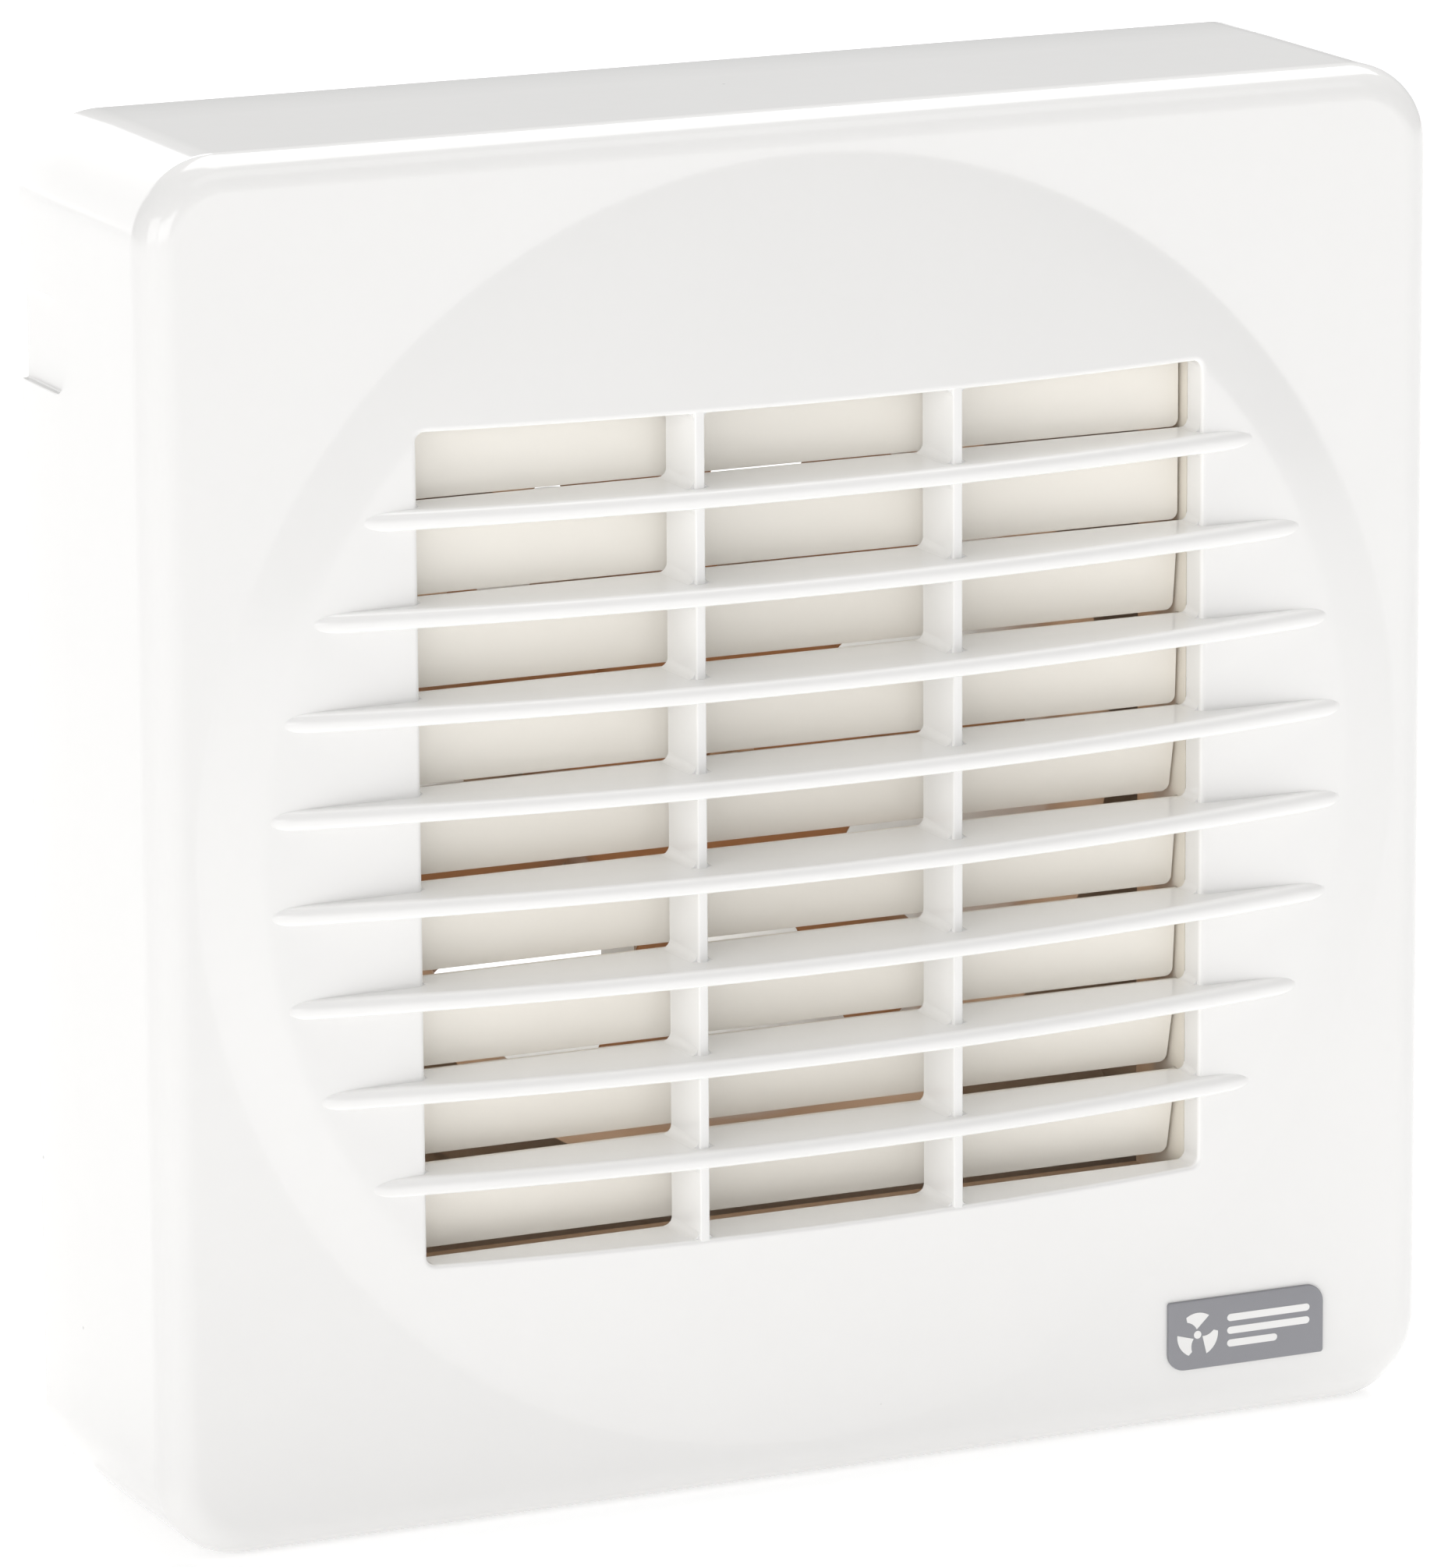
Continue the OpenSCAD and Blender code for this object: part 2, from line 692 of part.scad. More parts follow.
module backplate() {
    rim_front_y = -plate_t - plate_rim_h;
    color("whitesmoke") difference() {
        union() {
            plate_y(-plate_t, 0) round_rect(plate_w, plate_w, 7);
            plate_y(rim_front_y, -plate_t) difference() {
                round_rect(plate_w, plate_w, 7);
                round_rect(plate_w - 2 * plate_rim_t, plate_w - 2 * plate_rim_t, 7 - plate_rim_t);
            }
            at_four(peg_at[0], peg_at[1]) rod_y(socket_r, socket_front_y, -plate_t);
            at_four(ear_at[0], ear_at[1]) rod_y(post_r, frame_back_y, -plate_t);
        }
        rod_y(spigot_r + seat_step + 0.1, -20, 1);
        at_four(peg_at[0], peg_at[1]) rod_y(peg_r + 0.15, socket_front_y - 1, -plate_t);
        at_four(ear_at[0], ear_at[1]) rod_y(1.3, frame_back_y - 1, frame_back_y + 10);
        at_four(wall_screw_dx / 2, wall_screw_dz / 2) rod_y(wall_hole_r, -20, 1);
        translate([entry_at[0], 0, entry_at[1]]) rod_y(entry_r, -20, 1);
        for (a = [45 : 90 : 315]) rotate([0, a, 0]) translate([flange_screw_r, 0, 0])
            rod_y(1.5, -10, 1);
        // notch for a surface cable behind the knock-out
        block([-plate_w / 2 - 1, rim_front_y - 1, knockout_z - knockout_w / 2],
              [-plate_w / 2 + plate_rim_t + 1, -plate_t, knockout_z + knockout_w / 2]);
        for (sx = [-1, 1]) translate([terminal_at[0] + sx * 8.5, 0, terminal_at[1] - 4])
            rod_y(1.2, -10, -0.5);
        for (sz = [-1, 1]) translate([clamp_at[0], 0, clamp_at[1] + sz * 5]) rod_y(1.2, -10, -0.5);
        for (x = [61, 68]) translate([x, 0, -64.5]) rod_y(1.3, -10, -0.4);
    }
}

// Three-way terminal block with wire holes from below and screw holes in front
module terminal_block() {
    ways = 3;
    way_pitch = 6;
    half = terminal_size / 2;
    front_y = -plate_t - terminal_size[1];
    color("ivory") difference() {
        translate([terminal_at[0], -plate_t - half[1], terminal_at[1]])
            cube(terminal_size, center = true);
        for (k = [0 : ways - 1])
            translate([terminal_at[0] + (k - 1) * way_pitch, 0, terminal_at[1]]) {
                translate([0, -plate_t - 4.5, -half[2] - 1])
                    cylinder(r = 1.6, h = terminal_size[2] + 2);
                translate([0, 0, 1.5]) rod_y(1.7, front_y - 1, -plate_t - 4.5);
            }
    }
}

module terminal_screws() {
    way_pitch = 6;
    front_y = -plate_t - terminal_size[1];
    color("goldenrod") for (k = [-1 : 1])
        translate([terminal_at[0] + k * way_pitch, front_y + 2, terminal_at[1] + 1.5])
            screw(1.2, 2.5, 1.6, 1.2);
}

module cord_clamp() {
    bridge_y = -plate_t - 8;
    color("whitesmoke") difference() {
        block([clamp_at[0] - 3.5, bridge_y, clamp_at[1] - 7.5],
              [clamp_at[0] + 3.5, -plate_t, clamp_at[1] + 7.5]);
        block([clamp_at[0] - 4, bridge_y + 2, clamp_at[1] - 3.4],
              [clamp_at[0] + 4, 0, clamp_at[1] + 3.4]);
        for (sz = [-1, 1]) translate([clamp_at[0], 0, clamp_at[1] + sz * 5])
            rod_y(1.3, bridge_y - 1, 0);
    }
}

module cord_clamp_screws() {
    color("silver") for (sz = [-1, 1])
        translate([clamp_at[0], -plate_t - 8, clamp_at[1] + sz * 5]) screw(1.2, 10, 2.1, 1.4);
}

module cable_grommet() {
    color("dimgray") translate([entry_at[0], 0, entry_at[1]]) difference() {
        union() {
            rod_y(entry_r, -plate_t, 0);
            rod_y(entry_r + 1.3, -plate_t - 3, -plate_t);
        }
        rod_y(grommet_bore_r, -10, 1);
    }
}

// Routes of the inner wires, chosen by hand. They start under the terminal block.
function motor_route(side) =
    let (across = [sin(lead_angle), 0, -cos(lead_angle)] * side * 1.2,
         out = [cos(lead_angle), 0, sin(lead_angle)])
    [[terminal_at[0] + 3 * side + 3, -7.5, 55], [terminal_at[0] + 3 * side + 3, -7.5, 47],
     out * 54 + across + [0, -9, 4], out * 50 + across + [0, -9.5, 0],
     out * 47.4 + across + [0, -9, 0], out * annulus_r + across + [0, -7, 0],
     out * annulus_r + across + [0, 0, 0], out * annulus_r + across + [0, 4.4, 0],
     out * (annulus_r - 1.5) + across + [0, 6, 0], out * 40 + across + [0, 6.6, 0],
     out * 30 + across + [0, 6.6, 0], out * 25 + across + [0, 3, 0],
     out * 21 + across + [0, 2.6, 0], out * 17 + across + [0, 3.2, 0]];

module motor_leads() {
    color("saddlebrown") for (side = [-1, 1]) wire(motor_route(side), lead_r);
}

// One of the two heater wires. They run one in front of the other, depth away from the wall.
function heater_route(side) =
    let (y = -5.2 + side)
    [[terminal_at[0] + 6, y - 2, 64], [terminal_at[0] + 9, y - 1, 70],
     [-30, y, 72.5], [0, y, 72.5], [40, y, 65], [62, y, 55], [66, y, 46], [66, y, 10],
     [66.4, y, -20], [66.8 - side, -7, -50], [66 - side * 1.2, -16, -61],
     [act_at[0] - side * 1.2, act_at[1] + capsule_r + 0.1, -64.4]];

module heater_leads() {
    color("slategray") for (side = [-1, 1]) wire(heater_route(side), lead_r);
}

backplate();
fan_duct();
duct_screws();
motor_bracket();
motor_can();
motor_end_cap();
motor_bushes();
stator_core();
stator_windings();
motor_screws();
terminal_block();
terminal_screws();
cord_clamp();
cord_clamp_screws();
cable_grommet();
shutter_frame();
frame_screws();
actuator_bracket();
bracket_screws();
wax_capsule();
return_spring();
motor_leads();
heater_leads();
impeller();
motor_shaft();
rotor_core();
impeller_nut();
thrust_washers();
flap_1();
flap_2();
flap_3();
flap_4();
flap_5();
flap_6();
flap_7();
flap_8();
flap_9();
link_bar();
plunger();
front_cover();
badge_plate();
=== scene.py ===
# Bathroom extractor fan: the looks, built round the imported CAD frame.
# Blender works in metres, +Z up, +Y into the wall. Shapes are worked out in millimetres, in the
# same places as the CAD, and mesh_object scales them.
import json
import math

import bmesh
import bpy
import numpy as np
from mathutils import Matrix, Vector


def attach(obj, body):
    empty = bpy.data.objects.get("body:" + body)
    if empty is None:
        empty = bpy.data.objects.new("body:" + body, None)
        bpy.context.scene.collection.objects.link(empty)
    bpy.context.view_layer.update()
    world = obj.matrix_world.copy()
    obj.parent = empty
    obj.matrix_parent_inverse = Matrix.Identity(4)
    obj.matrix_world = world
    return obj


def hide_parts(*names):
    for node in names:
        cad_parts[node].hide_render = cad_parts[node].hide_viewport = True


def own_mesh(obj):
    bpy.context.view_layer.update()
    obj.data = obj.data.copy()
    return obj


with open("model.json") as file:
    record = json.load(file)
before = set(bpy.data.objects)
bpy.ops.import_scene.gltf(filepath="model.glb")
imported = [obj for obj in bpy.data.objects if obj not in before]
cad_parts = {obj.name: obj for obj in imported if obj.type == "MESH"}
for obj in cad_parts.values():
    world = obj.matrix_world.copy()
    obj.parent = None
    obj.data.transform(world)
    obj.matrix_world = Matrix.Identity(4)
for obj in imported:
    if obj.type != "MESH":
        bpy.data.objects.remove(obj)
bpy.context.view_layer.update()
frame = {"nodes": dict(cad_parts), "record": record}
NODES = frame["nodes"]
scene = bpy.context.scene
MM = 0.001
TURN = 2 * math.pi
QUARTER = math.pi / 2

# ---- sizes of the cover, in mm ----
HALF = 82.0                  # half the cover's width and height
CORNER_R = 10.1
EDGE_R = 4.0                 # between the face and the walls
WALL = 2.2
RIM_Y = -0.3
RIM_OUTER_R, RIM_INNER_R = 0.4, 0.3
WALL_RINGS = (-25.0, -12.0)  # y of the rings between the face and the rim
FACE_Y = -40.3
INNER_Y = FACE_Y + WALL
DOME_R = 77.0
DOME_RISE = 10.1
SPHERE_R = (DOME_R ** 2 + DOME_RISE ** 2) / (2 * DOME_RISE)
FLAT_RISE = 1.9              # the dome's height left and right of the opening
DOME_SOFT, FLAT_SOFT = 0.10, 0.16            # how gently the dome meets the face and its flats
FLAT_FADE = 40.0             # how gently the flats begin beside the opening's corners
FAR_R = 150.0                # past the cover's corners
OPEN_X, OPEN_Z, OPEN_R = 50.05, 49.03, 1.1   # half width, half height and corner of the opening
LIP_R = 0.6
COLLAR = 2.0
STEP = 0.12                  # from a rounded edge to the ring beside it
PITCH = 11.188
BARS = 8
BAR_BACK = 1.3               # half thickness of a bar at its back
BAR_DRAFT = 0.025            # taper of the bars per mm of depth
BAR_ROUND = 1.1              # depth at which the rounded crest's radius is taken
BAR_END_R = 69.6
BAR_SINK_R, BAR_SINK_LEN, BAR_SINK = 66.0, 3.6, 0.28     # how a bar's crest sinks at its ends
BAR_DEEP_X, BAR_SHALLOW_X = 51.1, 51.3       # inside the first it reaches back to the collar
BAR_FOOT_Y = -40.35          # the back of a bar's shallow ends
UPRIGHT_X = 16.4
UPRIGHT_RISE = 5.4
UPRIGHT_BACK = 0.93          # half thickness at the back
UPRIGHT_DRAFT = 0.045
UPRIGHT_SOFT = 0.22          # rounding of its front edges
UPRIGHT_OVER = 0.9           # how far its ends run into the face
WEB_Y = INNER_Y - 0.07       # back of the corner fillets
WEB_IN = 0.35                # how far they run into both walls
UPRIGHT_WEB_R, OPENING_WEB_R = 1.1, 0.9
KNOCK_Z, KNOCK_W, KNOCK_LEN, KNOCK_R, KNOCK_DEEP = 56.6, 11.0, 14.6, 3.4, 0.85
PEGS = [(sx * 72.0, sz * 30.0) for sx in (-1, 1) for sz in (-1, 1)]
PEG_PROFILE = [(2.5, INNER_Y - 0.5), (2.5, -5.9), (2.3, -5.35), (1.7, -5.0)]    # radius and y


# ---- camera ----

YAW, PITCH_DOWN, ROLL = math.radians(24.44), math.radians(13.18), -0.0066
CAMERA_PLACE = (-0.46498, -1.03775, 0.26050)
LENS, SENSOR = 222.53, 36.0


def place_camera():
    ahead = Vector((math.sin(YAW) * math.cos(PITCH_DOWN), math.cos(YAW) * math.cos(PITCH_DOWN),
                    -math.sin(PITCH_DOWN)))
    level = ahead.cross(Vector((0, 0, 1))).normalized()
    up = level.cross(ahead)
    right = math.cos(ROLL) * level + math.sin(ROLL) * up
    up = right.cross(ahead)
    data = bpy.data.cameras.new("camera")
    data.lens = LENS
    data.sensor_width = SENSOR
    data.clip_start, data.clip_end = 0.05, 30.0
    camera = bpy.data.objects.new("camera", data)
    scene.collection.objects.link(camera)
    turn = Matrix((right, up, -ahead)).transposed()
    camera.matrix_world = Matrix.Translation(CAMERA_PLACE) @ turn.to_4x4()
    scene.camera = camera


place_camera()


# ---- materials: every position in them is the object's own, in metres ----

# painted light: the grille's side faces get a lighter colour, as if more light reached them; these
# two set where
PAINTED_LIGHT_TURN = (-0.94, -0.55)   # the normal's y, from facing the room to facing sideways
PAINTED_LIGHT_REACH = (0.074, 0.080)  # distance from the fan's axis over which the painted side light ends
SPECK_CELLS = 110.0          # cells per metre, each with room for one speck
SPECK_EDGE = (0.012, 0.03)   # a speck's radius from full to nothing, in cells
SPECK_PICK = (0.78, 0.95)    # only the cells with a high random value get one
SPECK_SHADE = 0.45
RELIEF = 0.6                 # strength of the fine bump


class Nodes:
    """A material's node tree, with short calls to add nodes to it."""

    def __init__(self, name):
        self.mat = bpy.data.materials.new(name)
        self.mat.use_nodes = True
        self.tree = self.mat.node_tree
        self.bsdf = self.tree.nodes["Principled BSDF"]
        self.coords = self.add("ShaderNodeTexCoord")
        self.place = self.coords.outputs["Object"]

    def add(self, kind, **values):
        node = self.tree.nodes.new(kind)
        for key, value in values.items():
            if hasattr(node, key):
                setattr(node, key, value)
            else:
                node.inputs[key.replace("_", " ")].default_value = value
        return node

    def link(self, a, b):
        self.tree.links.new(a, b)

    def noise(self, scale, detail=2.0, stretch=None):
        node = self.add("ShaderNodeTexNoise", Scale=scale, Detail=detail)
        place = self.place
        if stretch:
            mapping = self.add("ShaderNodeMapping")
            mapping.inputs["Scale"].default_value = stretch
            self.link(place, mapping.inputs["Vector"])
            place = mapping.outputs["Vector"]
        self.link(place, node.inputs["Vector"])
        return node.outputs["Fac"]

    def spread(self, value, low, high, low_in=0.3, high_in=0.7):
        """Low to high, smoothly, while value goes from low_in to high_in."""
        node = self.add("ShaderNodeMapRange", interpolation_type="SMOOTHSTEP")
        node.inputs["From Min"].default_value = low_in
        node.inputs["From Max"].default_value = high_in
        node.inputs["To Min"].default_value = low
        node.inputs["To Max"].default_value = high
        self.link(value, node.inputs["Value"])
        return node.outputs["Result"]

    def mix(self, factor, a, b):
        node = self.add("ShaderNodeMix", data_type="RGBA")
        for socket, value in ((node.inputs[0], factor), (node.inputs[6], a), (node.inputs[7], b)):
            if isinstance(value, bpy.types.NodeSocket):
                self.link(value, socket)
            else:
                socket.default_value = (*value, 1.0)
        return node.outputs[2]

    def product(self, a, b):
        node = self.add("ShaderNodeMath", operation="MULTIPLY")
        self.link(a, node.inputs[0])
        self.link(b, node.inputs[1])
        return node.outputs[0]

    def bump(self, height, strength, distance):
        node = self.add("ShaderNodeBump")
        node.inputs["Strength"].default_value = strength
        node.inputs["Distance"].default_value = distance
        self.link(height, node.inputs["Height"])
        return node.outputs["Normal"]

    def sides(self):
        """Where light is painted: 1 on the grille's side faces, 0 on the front and on the cover's
        outer walls.
        """
        facing = self.add("ShaderNodeSeparateXYZ")
        self.link(self.coords.outputs["Normal"], facing.inputs["Vector"])
        flat = self.add("ShaderNodeVectorMath", operation="MULTIPLY")
        flat.inputs[1].default_value = (1.0, 0.0, 1.0)
        self.link(self.place, flat.inputs[0])
        reach = self.add("ShaderNodeVectorMath", operation="LENGTH")
        self.link(flat.outputs["Vector"], reach.inputs[0])
        within = self.spread(reach.outputs["Value"], 1.0, 0.0, *PAINTED_LIGHT_REACH)
        return self.product(self.spread(facing.outputs["Y"], 0.0, 1.0, *PAINTED_LIGHT_TURN), within)

    def dust(self, amount):
        """Up to amount in a few small round specks, 0 elsewhere."""
        cells = self.add("ShaderNodeTexVoronoi", feature="F1", Scale=SPECK_CELLS, Randomness=1.0)
        self.link(self.place, cells.inputs["Vector"])
        dot = self.spread(cells.outputs["Distance"], 1.0, 0.0, *SPECK_EDGE)
        pick = self.add("ShaderNodeSeparateColor")
        self.link(cells.outputs["Color"], pick.inputs["Color"])
        return self.product(dot, self.spread(pick.outputs["Red"], 0.0, amount, *SPECK_PICK))


def tinted(color, factor):
    return tuple(min(1.0, c * factor) for c in color)


def surface(name, color, rough, metallic=0.0, tone=0.02, tone_scale=40.0, rough_vary=0.05,
            grain=900.0, grain_height=0.00002, specks=0.0, stretch=None, sheen_tint=None,
            painted_side_light=None):
    """A procedural finish: slow drift of tone, uneven gloss, fine relief and, if asked, specks.

    sheen_tint comes in slow patches. A side colour, if given, is painted light: a lighter colour on
    the grille's side faces.
    """
    n = Nodes(name)
    drift = n.noise(tone_scale, 3.0, stretch)
    base = n.mix(n.spread(drift, 0.0, 1.0), tinted(color, 1 - tone), tinted(color, 1 + tone))
    if sheen_tint:
        slow = n.noise(tone_scale * 0.35, 2.0)
        base = n.mix(n.spread(slow, 0.0, 0.5), base, sheen_tint)
    # painted light: a lighter colour on the grille's side faces
    if painted_side_light:
        base = n.mix(n.sides(), base, painted_side_light)
    if specks:
        base = n.mix(n.dust(specks), base, tinted(color, SPECK_SHADE))
    n.link(base, n.bsdf.inputs["Base Color"])
    patches = n.noise(tone_scale * 6, 4.0, stretch)
    gloss = n.add("ShaderNodeMapRange")
    gloss.inputs["To Min"].default_value = rough - rough_vary
    gloss.inputs["To Max"].default_value = rough + rough_vary
    n.link(patches, gloss.inputs["Value"])
    n.link(gloss.outputs["Result"], n.bsdf.inputs["Roughness"])
    relief = n.noise(grain, 3.0, stretch)
    n.link(n.bump(relief, RELIEF, grain_height), n.bsdf.inputs["Normal"])
    n.bsdf.inputs["Metallic"].default_value = metallic
    return n.mat


MATERIALS = {
    # the cover's grille side faces carry painted light, a lighter colour than its front
    "cover_abs": surface("gloss_white_abs", (0.77, 0.763, 0.753), 0.12, tone=0.004, specks=0.5,
                         painted_side_light=(0.93, 0.924, 0.91),
                         grain=420.0, grain_height=0.000006, rough_vary=0.03),
    "casing_pp": surface("satin_white_pp", (0.80, 0.785, 0.745), 0.46, tone=0.02, grain=2200.0,
                         grain_height=0.00003, rough_vary=0.07),
    # the flaps: cream ABS, and also painted light: lighter than the cover's white so that they stay
    # light in the grille's shade
    "flap_abs": surface("satin_cream_abs_painted_light", (0.915, 0.887, 0.828), 0.30, tone=0.012, tone_scale=25.0,
                        rough_vary=0.02, specks=0.1, grain=800.0, grain_height=0.000015,
                        sheen_tint=(0.915, 0.87, 0.80)),
    "frame_abs": surface("satin_offwhite_abs", (0.90, 0.85, 0.76), 0.40, tone=0.03, grain=1600.0),
    "badge_grey": surface("printed_grey", (0.25, 0.25, 0.268), 0.42, tone=0.015, grain=3000.0),
    "zinc_steel": surface("zinc_plated_steel", (0.60, 0.60, 0.585), 0.30, metallic=1.0, tone=0.05,
                          tone_scale=160.0, rough_vary=0.06, grain=2600.0),
    "brass": surface("plain_brass", (0.72, 0.52, 0.25), 0.28, metallic=1.0, tone=0.08,
                     tone_scale=200.0, rough_vary=0.10, grain=2600.0),
    "bronze": surface("sintered_bronze", (0.45, 0.28, 0.14), 0.52, metallic=1.0, tone=0.12,
                      tone_scale=500.0, grain=5000.0, grain_height=0.00005),
    "copper_wire": surface("enamelled_copper", (0.50, 0.20, 0.08), 0.30, metallic=0.8, tone=0.15,
                           tone_scale=300.0, grain=1800.0, grain_height=0.00012,
                           stretch=(1.0, 6.0, 1.0)),
    "core_steel": surface("stamped_steel", (0.28, 0.28, 0.29), 0.42, metallic=1.0, tone=0.15,
                          tone_scale=120.0, grain=1600.0, grain_height=0.00008,
                          stretch=(1.0, 8.0, 1.0)),
    # painted shade: the impeller is tan so that the gaps behind the flaps show warm brown, the
    # colour of the dim warm light inside
    "impeller_pp": surface("tan_pp_painted_warm_shade", (0.50, 0.34, 0.22), 0.40, tone=0.03, grain=1400.0,
                           grain_height=0.00003),
    "rubber_grey": surface("grey_rubber", (0.06, 0.06, 0.065), 0.72, tone=0.15, tone_scale=300.0,
                           grain=2500.0, grain_height=0.00004),
    "nylon": surface("natural_nylon", (0.76, 0.73, 0.62), 0.38, tone=0.03, grain=1400.0),
    "lead_brown": surface("brown_insulation", (0.16, 0.06, 0.025), 0.40, tone=0.06, grain=3000.0),
    "lead_grey": surface("grey_insulation", (0.17, 0.19, 0.22), 0.42, tone=0.06, grain=3000.0),
}


# ---- mesh helpers ----

def mesh_object(name, points, faces, slot, sharp=32.0):
    """A smooth-shaded object from points in mm, with outward faces.

    Edges that turn by more than sharp degrees stay sharp.
    """
    mesh = bpy.data.meshes.new(name)
    mesh.from_pydata([tuple(p) for p in np.asarray(points) * MM], [], faces)
    form = bmesh.new()
    form.from_mesh(mesh)
    bmesh.ops.recalc_face_normals(form, faces=form.faces)
    form.to_mesh(mesh)
    form.free()
    obj = bpy.data.objects.new(name, mesh)
    scene.collection.objects.link(obj)
    mesh.materials.append(MATERIALS[slot])
    smooth(obj, sharp)
    return obj


def smooth(obj, sharp):
    obj.data.shade_smooth()
    obj.data.set_sharp_from_angle(angle=math.radians(sharp))


def loft(rings, start=0, close=False):
    """Faces between rings of equal size whose points are numbered on from start."""
    size = len(rings[0])
    count = len(rings)
    faces = []
    for i in range(count if close else count - 1):
        a, b = start + i * size, start + (i + 1) % count * size
        for k in range(size):
            n = (k + 1) % size
            faces.append((a + k, a + n, b + n, b + k))
    if not close:
        faces.append(tuple(range(start + size - 1, start - 1, -1)))
        faces.append(tuple(start + (count - 1) * size + k for k in range(size)))
    return faces


def lofts(solids, name, slot, sharp=32.0, closed=0):
    """One object from several lofted solids. The first closed ones run round to their own start."""
    points, faces = [], []
    for i, rings in enumerate(solids):
        faces += loft(rings, start=len(points), close=i < closed)
        points += [p for ring in rings for p in ring]
    return mesh_object(name, points, faces, slot, sharp)


def combine(obj, other, operation):
    """Applies one boolean step to obj and removes the other object."""
    step = obj.modifiers.new("step", "BOOLEAN")
    step.operation = operation
    step.object = other
    step.solver = "MANIFOLD"
    bpy.context.view_layer.update()
    depsgraph = bpy.context.evaluated_depsgraph_get()
    mesh = bpy.data.meshes.new_from_object(obj.evaluated_get(depsgraph))
    obj.modifiers.clear()
    obj.data = mesh
    bpy.data.objects.remove(other)


def circle(steps):
    return np.linspace(0, TURN, steps, endpoint=False)


def tube(path, radius, sides):
    """Rings of a round tube that follows a path in mm."""
    path = np.asarray(path, float)
    ahead = np.gradient(path, axis=0)
    ahead /= np.linalg.norm(ahead, axis=1)[:, None]
    side = np.cross(ahead[0], (0.0, 0.0, 1.0) if abs(ahead[0][2]) < 0.9 else (0.0, 1.0, 0.0))
    rings = []
    for p, d in zip(path, ahead):
        side = side - d * side.dot(d)
        side /= np.linalg.norm(side)
        up = np.cross(d, side)
        rings.append([p + radius * (math.cos(t) * side + math.sin(t) * up) for t in circle(sides)])
    return rings


def revolve(profile, sides=96):
    """Rings of a solid turned about the Y axis, from a closed profile of radius and y."""
    return [[(r * math.cos(t), y, r * math.sin(t)) for r, y in profile] for t in circle(sides)]


# ---- front cover ----

ROUND_STEPS = 640                            # angles round the cover, before its corners get more
OUTER_SPAN, OUTER_STEPS = 0.075, 60          # radians on both sides of an outer corner, and angles
INNER_SPAN, INNER_STEPS = 0.014, 22          # the same for a corner of the opening
CLOSEST = 0.0006                             # angles closer than this become one
BAR_END_RINGS = (68.7, 70.0)                 # radii on both sides of the bars' ends
CREASE_RINGS = (0.8, 0.6)                    # inside and outside the dome's edge


def outline(angle, half_x, half_z, corner):
    """Distance from the middle to a rounded rectangle, along each angle."""
    c, s = np.abs(np.cos(angle)), np.abs(np.sin(angle))
    straight = np.minimum(half_x / np.maximum(c, 1e-9), half_z / np.maximum(s, 1e-9))
    ax, az = half_x - corner, half_z - corner
    along = c * ax + s * az
    root = np.sqrt(np.maximum(along ** 2 - (ax ** 2 + az ** 2 - corner ** 2), 0))
    in_corner = (straight * c > ax) & (straight * s > az)
    return np.where(in_corner, along + root, straight)


def smooth_max(a, b, soft):
    return (a + b + np.sqrt((a - b) ** 2 + soft ** 2)) / 2


def height(x, z):
    """How far the cover's front stands above its flat face at x, z."""
    r2 = np.minimum(x ** 2 + z ** 2, FAR_R ** 2)
    dome = smooth_max(np.sqrt(SPHERE_R ** 2 - r2) - (SPHERE_R - DOME_RISE), 0.0, DOME_SOFT)
    flat = -smooth_max(-dome, -FLAT_RISE, FLAT_SOFT)
    beside = np.clip((np.abs(x) * OPEN_Z - np.abs(z) * OPEN_X) / FLAT_FADE + 0.5, 0, 1)
    return dome + (flat - dome) * beside


def cover_angles():
    fine = [circle(ROUND_STEPS)]
    corner = math.atan2(OPEN_Z, OPEN_X)
    inner_corners = (corner, math.pi - corner, math.pi + corner, TURN - corner)
    for quarter, inner in enumerate(inner_corners):
        outer = math.radians(45 + 90 * quarter)
        fine.append(np.linspace(outer - OUTER_SPAN, outer + OUTER_SPAN, OUTER_STEPS))
        fine.append(np.linspace(inner - INNER_SPAN, inner + INNER_SPAN, INNER_STEPS))
    angles = np.unique(np.concatenate(fine) % TURN)
    keep = [angles[0]]
    for a in angles[1:]:
        if a - keep[-1] > CLOSEST:
            keep.append(a)
    return np.array(keep)


